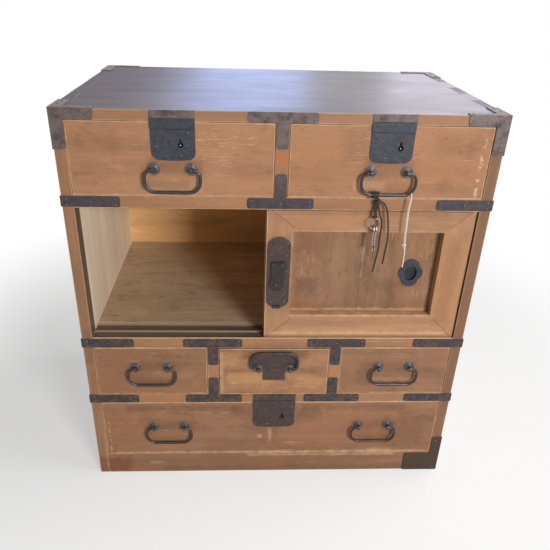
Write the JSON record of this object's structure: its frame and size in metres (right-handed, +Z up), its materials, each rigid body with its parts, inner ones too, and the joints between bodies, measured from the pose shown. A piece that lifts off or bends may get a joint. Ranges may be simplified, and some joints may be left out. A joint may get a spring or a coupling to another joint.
{
  "type": "isho clothing chest",
  "caption": "Wooden clothing chest on a flat base: drawers above and below a compartment closed by two overlapping sliding doors, with iron mounts and drop bails.",
  "frame": {"origin": "centre of the underside of the case, on the plane it stands on", "axes": "+Z up, the front faces -Y, +X to the right of someone facing the front"},
  "size_m": [0.7432, 0.4677, 0.7876],
  "materials": {
    "side_wood": "old oiled softwood, worn",
    "top_wood": "old dark finish, scuffed",
    "case_wood": "old reddish finish with worn edges",
    "door_wood": "worn pale at the edges",
    "panel_wood": "old reddish finish",
    "drawer_front_wood": "old reddish finish",
    "drawer_box_wood": "bare sawn softwood",
    "inner_wood": "bare sawn softwood",
    "mount_iron": "black iron with rust bloom",
    "lock_iron": "dark grey iron plate",
    "bail_iron": "black iron polished by handling",
    "key_steel": "tarnished steel",
    "thong_leather": "black waxed thong",
    "white_string": "twisted cotton"
  },
  "bodies": {
    "case": {"left_side": "side_wood", "right_side": "side_wood", "top_board": "top_wood", "bottom_board": "inner_wood", "back_panel": "inner_wood", "bottom_rail": "case_wood", "drawer_runners": "inner_wood", "lower_rail": "case_wood", "lower_shelf": "inner_wood", "middle_rail": "case_wood", "middle_shelf": "inner_wood", "upper_rail": "case_wood", "upper_shelf": "inner_wood", "drawer_dividers": "case_wood", "corner_irons": "mount_iron", "t_irons": "mount_iron", "rail_end_straps": "mount_iron", "lock_strikes": "mount_iron"},
    "upper_left_drawer": {"upper_left_drawer_front": "drawer_front_wood", "upper_left_drawer_box": "drawer_box_wood", "upper_left_handle_posts": "mount_iron", "upper_left_lock": "lock_iron"},
    "upper_left_bail": {"upper_left_bail": "bail_iron"},
    "upper_right_drawer": {"upper_right_drawer_front": "drawer_front_wood", "upper_right_drawer_box": "drawer_box_wood", "upper_right_handle_posts": "mount_iron", "upper_right_lock": "lock_iron"},
    "upper_right_bail": {"upper_right_bail": "bail_iron"},
    "lower_left_drawer": {"lower_left_drawer_front": "drawer_front_wood", "lower_left_drawer_box": "drawer_box_wood", "lower_left_handle_posts": "mount_iron"},
    "lower_left_bail": {"lower_left_bail": "bail_iron"},
    "lower_middle_drawer": {"lower_middle_drawer_front": "drawer_front_wood", "lower_middle_drawer_box": "drawer_box_wood", "lower_middle_handle_posts": "mount_iron", "handle_backplate": "mount_iron"},
    "lower_middle_bail": {"lower_middle_bail": "bail_iron"},
    "lower_right_drawer": {"lower_right_drawer_front": "drawer_front_wood", "lower_right_drawer_box": "drawer_box_wood", "lower_right_handle_posts": "mount_iron"},
    "lower_right_bail": {"lower_right_bail": "bail_iron"},
    "bottom_drawer": {"bottom_drawer_front": "drawer_front_wood", "bottom_drawer_box": "drawer_box_wood", "bottom_handle_posts": "mount_iron", "bottom_lock": "lock_iron"},
    "bottom_left_bail": {"bottom_left_bail": "bail_iron"},
    "bottom_right_bail": {"bottom_right_bail": "bail_iron"},
    "front_door": {"front_door_frame": "door_wood", "front_door_panel": "panel_wood", "front_door_pull": "lock_iron", "front_door_lock_plate": "lock_iron"},
    "rear_door": {"rear_door_frame": "door_wood", "rear_door_panel": "panel_wood", "rear_door_pull": "lock_iron"},
    "latch": {"front_door_latch": "lock_iron"},
    "key_bundle": {"thong_knot": "thong_leather", "key_thong": "thong_leather", "key_thong_tail": "thong_leather", "keys": "key_steel"},
    "tag": {"tag_string": "white_string"}
  },
  "joints": [
    {"name": "upper_left_drawer_slide", "type": "slide", "parent": "case", "child": "upper_left_drawer", "axis": [0, -1, 0], "range_m": [0, 0.3]},
    {"name": "upper_left_bail_swing", "type": "hinge", "parent": "upper_left_drawer", "child": "upper_left_bail", "pos_m": [-0.18088, -0.233, 0.689], "axis": [-1, 0, 0], "range_deg": [0, 184]},
    {"name": "upper_right_drawer_slide", "type": "slide", "parent": "case", "child": "upper_right_drawer", "axis": [0, -1, 0], "range_m": [0, 0.3]},
    {"name": "upper_right_bail_swing", "type": "hinge", "parent": "upper_right_drawer", "child": "upper_right_bail", "pos_m": [0.18088, -0.233, 0.689], "axis": [-1, 0, 0], "range_deg": [0, 170]},
    {"name": "lower_left_drawer_slide", "type": "slide", "parent": "case", "child": "lower_left_drawer", "axis": [0, -1, 0], "range_m": [0, 0.3]},
    {"name": "lower_left_bail_swing", "type": "hinge", "parent": "lower_left_drawer", "child": "lower_left_bail", "pos_m": [-0.24117, -0.233, 0.283], "axis": [-1, 0, 0], "range_deg": [0, 184]},
    {"name": "lower_middle_drawer_slide", "type": "slide", "parent": "case", "child": "lower_middle_drawer", "axis": [0, -1, 0], "range_m": [-0.0025, 0.3]},
    {"name": "lower_middle_bail_swing", "type": "hinge", "parent": "lower_middle_drawer", "child": "lower_middle_bail", "pos_m": [0, -0.2365, 0.283], "axis": [-1, 0, 0], "range_deg": [-185, 0]},
    {"name": "lower_right_drawer_slide", "type": "slide", "parent": "case", "child": "lower_right_drawer", "axis": [0, -1, 0], "range_m": [0, 0.3]},
    {"name": "lower_right_bail_swing", "type": "hinge", "parent": "lower_right_drawer", "child": "lower_right_bail", "pos_m": [0.24117, -0.233, 0.283], "axis": [-1, 0, 0], "range_deg": [0, 184]},
    {"name": "bottom_drawer_slide", "type": "slide", "parent": "case", "child": "bottom_drawer", "axis": [0, -1, 0], "range_m": [0, 0.3]},
    {"name": "bottom_left_bail_swing", "type": "hinge", "parent": "bottom_drawer", "child": "bottom_left_bail", "pos_m": [-0.215, -0.233, 0.1303], "axis": [-1, 0, 0], "range_deg": [0, 184]},
    {"name": "bottom_right_bail_swing", "type": "hinge", "parent": "bottom_drawer", "child": "bottom_right_bail", "pos_m": [0.215, -0.233, 0.1303], "axis": [-1, 0, 0], "range_deg": [0, 184]},
    {"name": "front_door_slide", "type": "slide", "parent": "case", "child": "front_door", "axis": [-1, 0, 0], "range_m": [0, 0.326]},
    {"name": "rear_door_slide", "type": "slide", "parent": "case", "child": "rear_door", "axis": [1, 0, 0], "range_m": [-0.326, 0]},
    {"name": "latch_slide", "type": "slide", "parent": "front_door", "child": "latch", "axis": [0, 0, 1], "range_m": [0, 0.006]},
    {"name": "key_bundle_hang", "type": "hinge", "parent": "upper_right_bail", "child": "key_bundle", "pos_m": [0.18088, -0.233, 0.651], "axis": [-1, 0, 0], "range_deg": [-170, 0]},
    {"name": "tag_hang", "type": "hinge", "parent": "upper_right_bail", "child": "tag", "pos_m": [0.18088, -0.233, 0.651], "axis": [-1, 0, 0], "range_deg": [-170, 0]}
  ],
  "couplings": [
    {"joint": "key_bundle_hang", "follows": "upper_right_bail_swing", "ratio": -1},
    {"joint": "tag_hang", "follows": "upper_right_bail_swing", "ratio": -1}
  ]
}
